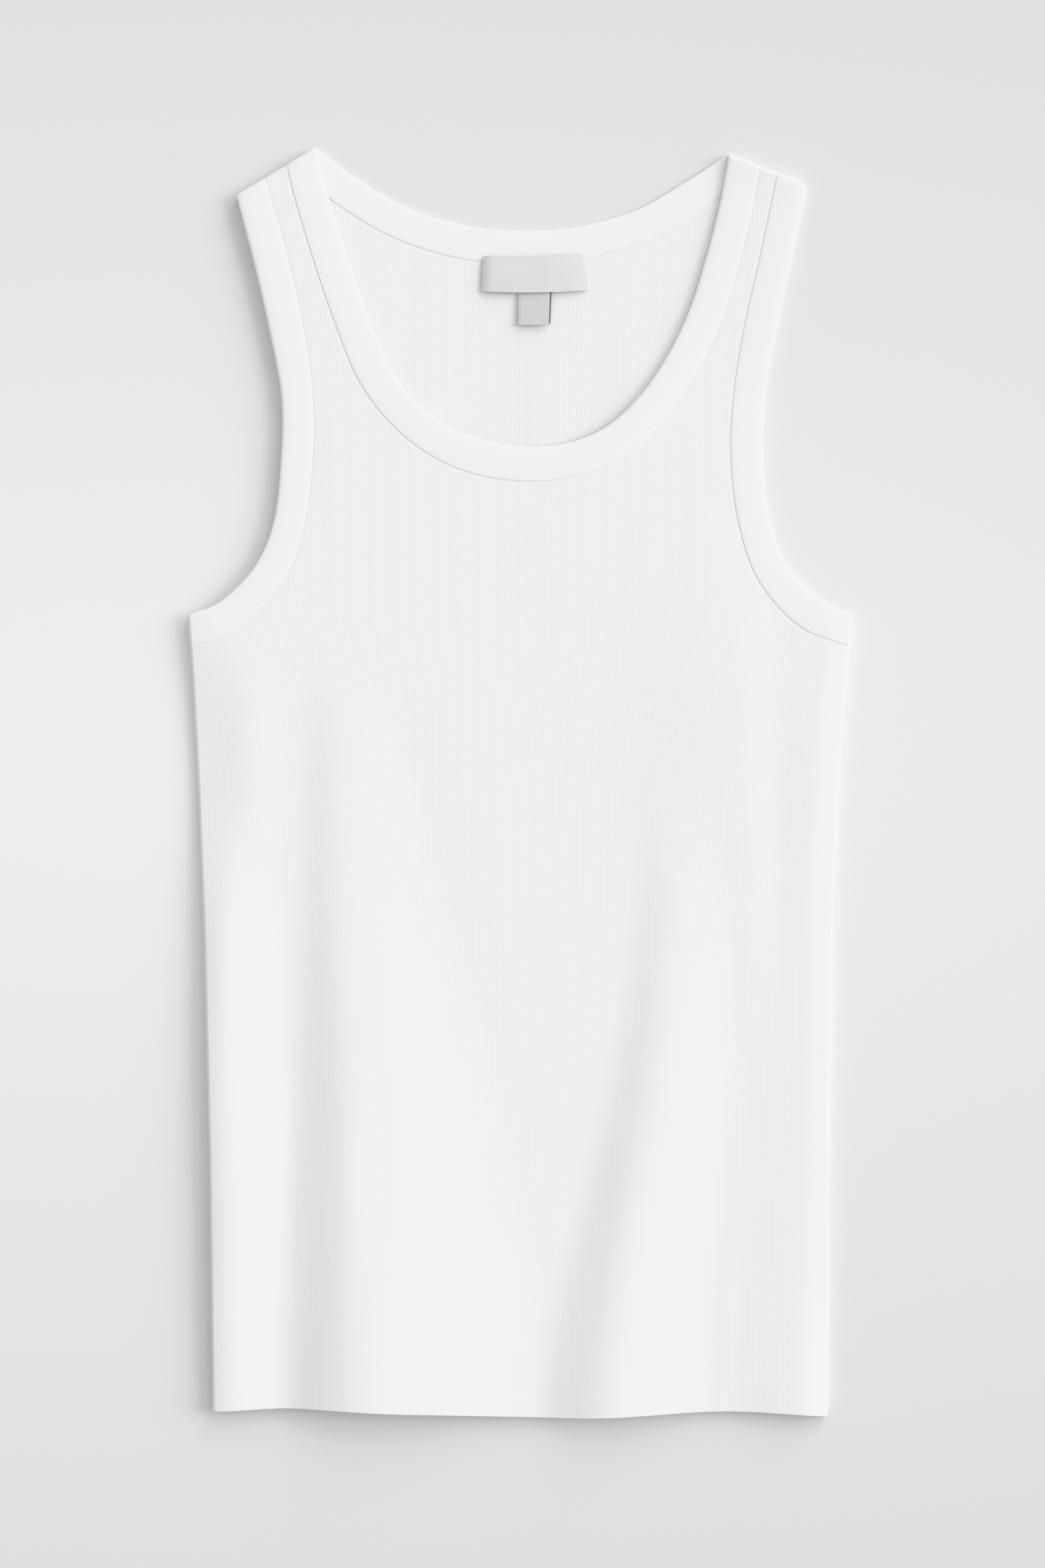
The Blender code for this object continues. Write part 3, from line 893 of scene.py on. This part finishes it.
def knit(name, tones, bump_height):
    """Cotton rib: columns of V stitches with a soft fuzz, and painted shade in the grooves of the ribs and
    among the stitches.
    """
    nodes = Nodes(name)
    column, course = nodes.knit_places()
    # 0 at a rib's crest and 0.5 in the groove beside it
    aside = nodes.math("PINGPONG", column, 0.5)
    wander = nodes.math("MULTIPLY", nodes.noise(WANDER_SCALE), STITCH_WANDER)
    slant = nodes.math("ADD", nodes.math("MULTIPLY", aside, STITCH_SLANT), wander)
    turn = nodes.math("MULTIPLY", nodes.math("ADD", course, slant), 2 * math.pi)
    stitch = nodes.math("MULTIPLY_ADD", nodes.math("COSINE", turn), 0.5, 0.5)
    # Painted shade among the stitches, darkest midway from one stitch to the next
    between = nodes.math("MULTIPLY", nodes.math("SUBTRACT", 1.0, stitch), STITCH_SHADE)
    # Painted shade in the groove beside each rib
    in_groove = nodes.math("SMOOTH_MIN", nodes.math("MULTIPLY", aside, 2.0), 1.0, GROOVE_ROUNDING)
    painted_groove_shade = nodes.math("POWER", in_groove, GROOVE_SHARPNESS)
    cloudy = nodes.math("MULTIPLY_ADD", nodes.noise(CLOUD_SCALE), CLOUDINESS, -CLOUDINESS / 2)
    # Painted shade of grooves and stitches, plus a random cloudy tone
    shade = nodes.math("ADD", nodes.math("ADD", painted_groove_shade, between), cloudy)
    fuzz = nodes.noise(FUZZ_SCALE, FUZZ_DETAIL)
    nodes.bump(nodes.math("MULTIPLY_ADD", fuzz, FUZZ_SHARE, stitch), bump_height)
    return nodes.finish(nodes.mixed(shade, *tones), KNIT_SURFACE)


def woven_tape(name, tones, dark_strip=0.0):
    """A satin tape, a little shinier than the cotton. A near-black strip this wide may run down its right
    edge.
    """
    nodes = Nodes(name)
    from_right_edge, from_bottom = nodes.knit_places()
    across = nodes.math("SINE", nodes.math("MULTIPLY", from_right_edge, 2 * math.pi / WARP_STEP))
    up = nodes.math("SINE", nodes.math("MULTIPLY", from_bottom, 2 * math.pi / WEFT_STEP))
    weave = nodes.math("MULTIPLY_ADD", nodes.math("MULTIPLY", across, up), 0.5, 0.5)
    woven = nodes.math("MULTIPLY", weave, WEAVE_SHARE)
    share = nodes.math("MULTIPLY_ADD", nodes.noise(STREAK_SCALE), STREAK_SHARE, woven)
    cloth = nodes.mixed(share, *tones)
    if dark_strip:
        # Near-black strip along the right edge
        on_dark_strip = nodes.math("GREATER_THAN", from_right_edge, -dark_strip)
        cloth = nodes.mixed(on_dark_strip, cloth, DARK_STRIP_TONE)
    nodes.bump(weave, TAPE_BUMP)
    return nodes.finish(cloth, TAPE_SURFACE)


def floor_material():
    """A pale seamless surface with a painted pool of light, darker away from its lightest place."""
    nodes = Nodes("pale_surface")
    # Painted pool of light, lightest at its middle and fading outwards
    from_pool_middle = nodes.vector("SUBTRACT", nodes.place(), FLOOR_POOL_MIDDLE)
    away = nodes.vector("LENGTH", nodes.vector("MULTIPLY", from_pool_middle, FLOOR_POOL_SQUEEZE))
    share = nodes.math("MINIMUM", nodes.math("DIVIDE", away, FLOOR_POOL_FADE), 1.0)
    nodes.bump(nodes.noise(FLOOR_GRAIN), FLOOR_BUMP)
    return nodes.finish(nodes.mixed(share, *FLOOR_POOL_TONES), FLOOR_SURFACE)


def stage_and_light():
    """The surface, a broad low key light from the right and a little above, and an even fill."""
    bpy.ops.mesh.primitive_plane_add(size=FLOOR_SIZE)
    floor = bpy.context.object
    floor.name = "surface"
    floor.data.materials.append(floor_material())
    for name, (strength, elevation, direction, spread) in LIGHTS.items():
        light = bpy.data.lights.new(name, "SUN")
        light.energy = strength
        light.angle = math.radians(spread)
        lamp = bpy.data.objects.new(name, light)
        rise, turn = math.radians(elevation), math.radians(direction)
        towards = Vector((math.cos(rise) * math.cos(turn), math.cos(rise) * math.sin(turn), math.sin(rise)))
        lamp.rotation_mode = "QUATERNION"
        lamp.rotation_quaternion = towards.to_track_quat("Z", "Y")
        bpy.context.scene.collection.objects.link(lamp)
    world = bpy.data.worlds.new("fill")
    world.use_nodes = True
    sky = world.node_tree.nodes["Background"]
    sky.inputs["Color"].default_value = (1.0, 1.0, 1.0, 1.0)
    sky.inputs["Strength"].default_value = FILL_STRENGTH
    bpy.context.scene.world = world
    photo_curve(bpy.context.scene.view_settings)


def photo_curve(view):
    """Standard tones with a soft shoulder, as in the photo, whose whites stay just below paper white."""
    view.view_transform = "Standard"
    view.use_curve_mapping = True
    curves = view.curve_mapping
    curves.white_level = (HIGHEST_LIGHT, HIGHEST_LIGHT, HIGHEST_LIGHT)
    curve = curves.curves[3]
    curve.points[0].location = (0.0, 0.0)
    curve.points[1].location = (1.0, CURVE_TONES[-1][1])
    for light, tone in CURVE_TONES[:-1]:
        curve.points.new(light / HIGHEST_LIGHT, tone)
    for point in curve.points:
        point.handle_type = "VECTOR"
    curves.update()


def camera():
    """Straight down, framed as in the photo."""
    data = bpy.data.cameras.new("camera")
    data.sensor_width = SENSOR
    data.lens = SENSOR * CAMERA_HEIGHT / PICTURE_LENGTH
    data.clip_start = CLIP_START
    view = bpy.data.objects.new("camera", data)
    view.location = (*PICTURE_MIDDLE, CAMERA_HEIGHT)
    bpy.context.scene.collection.objects.link(view)
    bpy.context.scene.camera = view


def stands_for(piece, node):
    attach(piece, "root")
    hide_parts(node)


def flat_area(neck_rows):
    """Flat area of a panel in square metres, up to its seams."""
    mesh = flat_grid(AREA_RIBS, 0.0)
    to_seam = seam_distance(neck_rows)
    cut(mesh, to_seam, PANEL_TUCK, drop=True)
    cut(mesh, shoulder_distance, 0.0, drop=True)
    area = sum(face.calc_area() for face in mesh.faces)
    mesh.free()
    return area * MM * MM


def add_panels(material):
    back = panel("back_rib", BACK_NECK, BACK_RIBS, BACK_HEM_RISE, back_face, -PANEL_CLEARANCE, material)
    stands_for(back, "back_panel")
    flat_area(BACK_NECK)
    front = panel("front_rib", FRONT_NECK, FRONT_RIBS, 0.0, front_face, PANEL_CLEARANCE, material)
    stands_for(front, "front_panel")
    flat_area(FRONT_NECK)


def add_bindings(material):
    rings = {
        "neck_band": neck_ring(),
        "armhole_band_left": armhole_ring(LEFT_ARMHOLE),
        "armhole_band_right": armhole_ring(RIGHT_ARMHOLE),
    }
    for node, sides in rings.items():
        piece, run = band(node.replace("band", "binding"), *sides, material)
        stands_for(piece, node)


def add_tape(name, node, corners, sag, shape, material):
    piece, width, height = tape(name, corners, sag, shape, material)
    stands_for(piece, node)


add_panels(knit("rib_knit", BODY_CREST_AND_SHADED_GROOVE_TONES, BODY_BUMP))
add_bindings(knit("rib_binding", BAND_CREST_AND_SHADED_GROOVE_TONES, BAND_BUMP))
add_tape("label", "neck_label", LABEL, LABEL_SAG, label_shape, woven_tape("label_tape", LABEL_TONES))
add_tape("tab", "size_tab", TAB, TAB_SAG, tab_shape, woven_tape("tab_tape", TAB_TONES, TAB_DARK_STRIP))
stage_and_light()
camera()
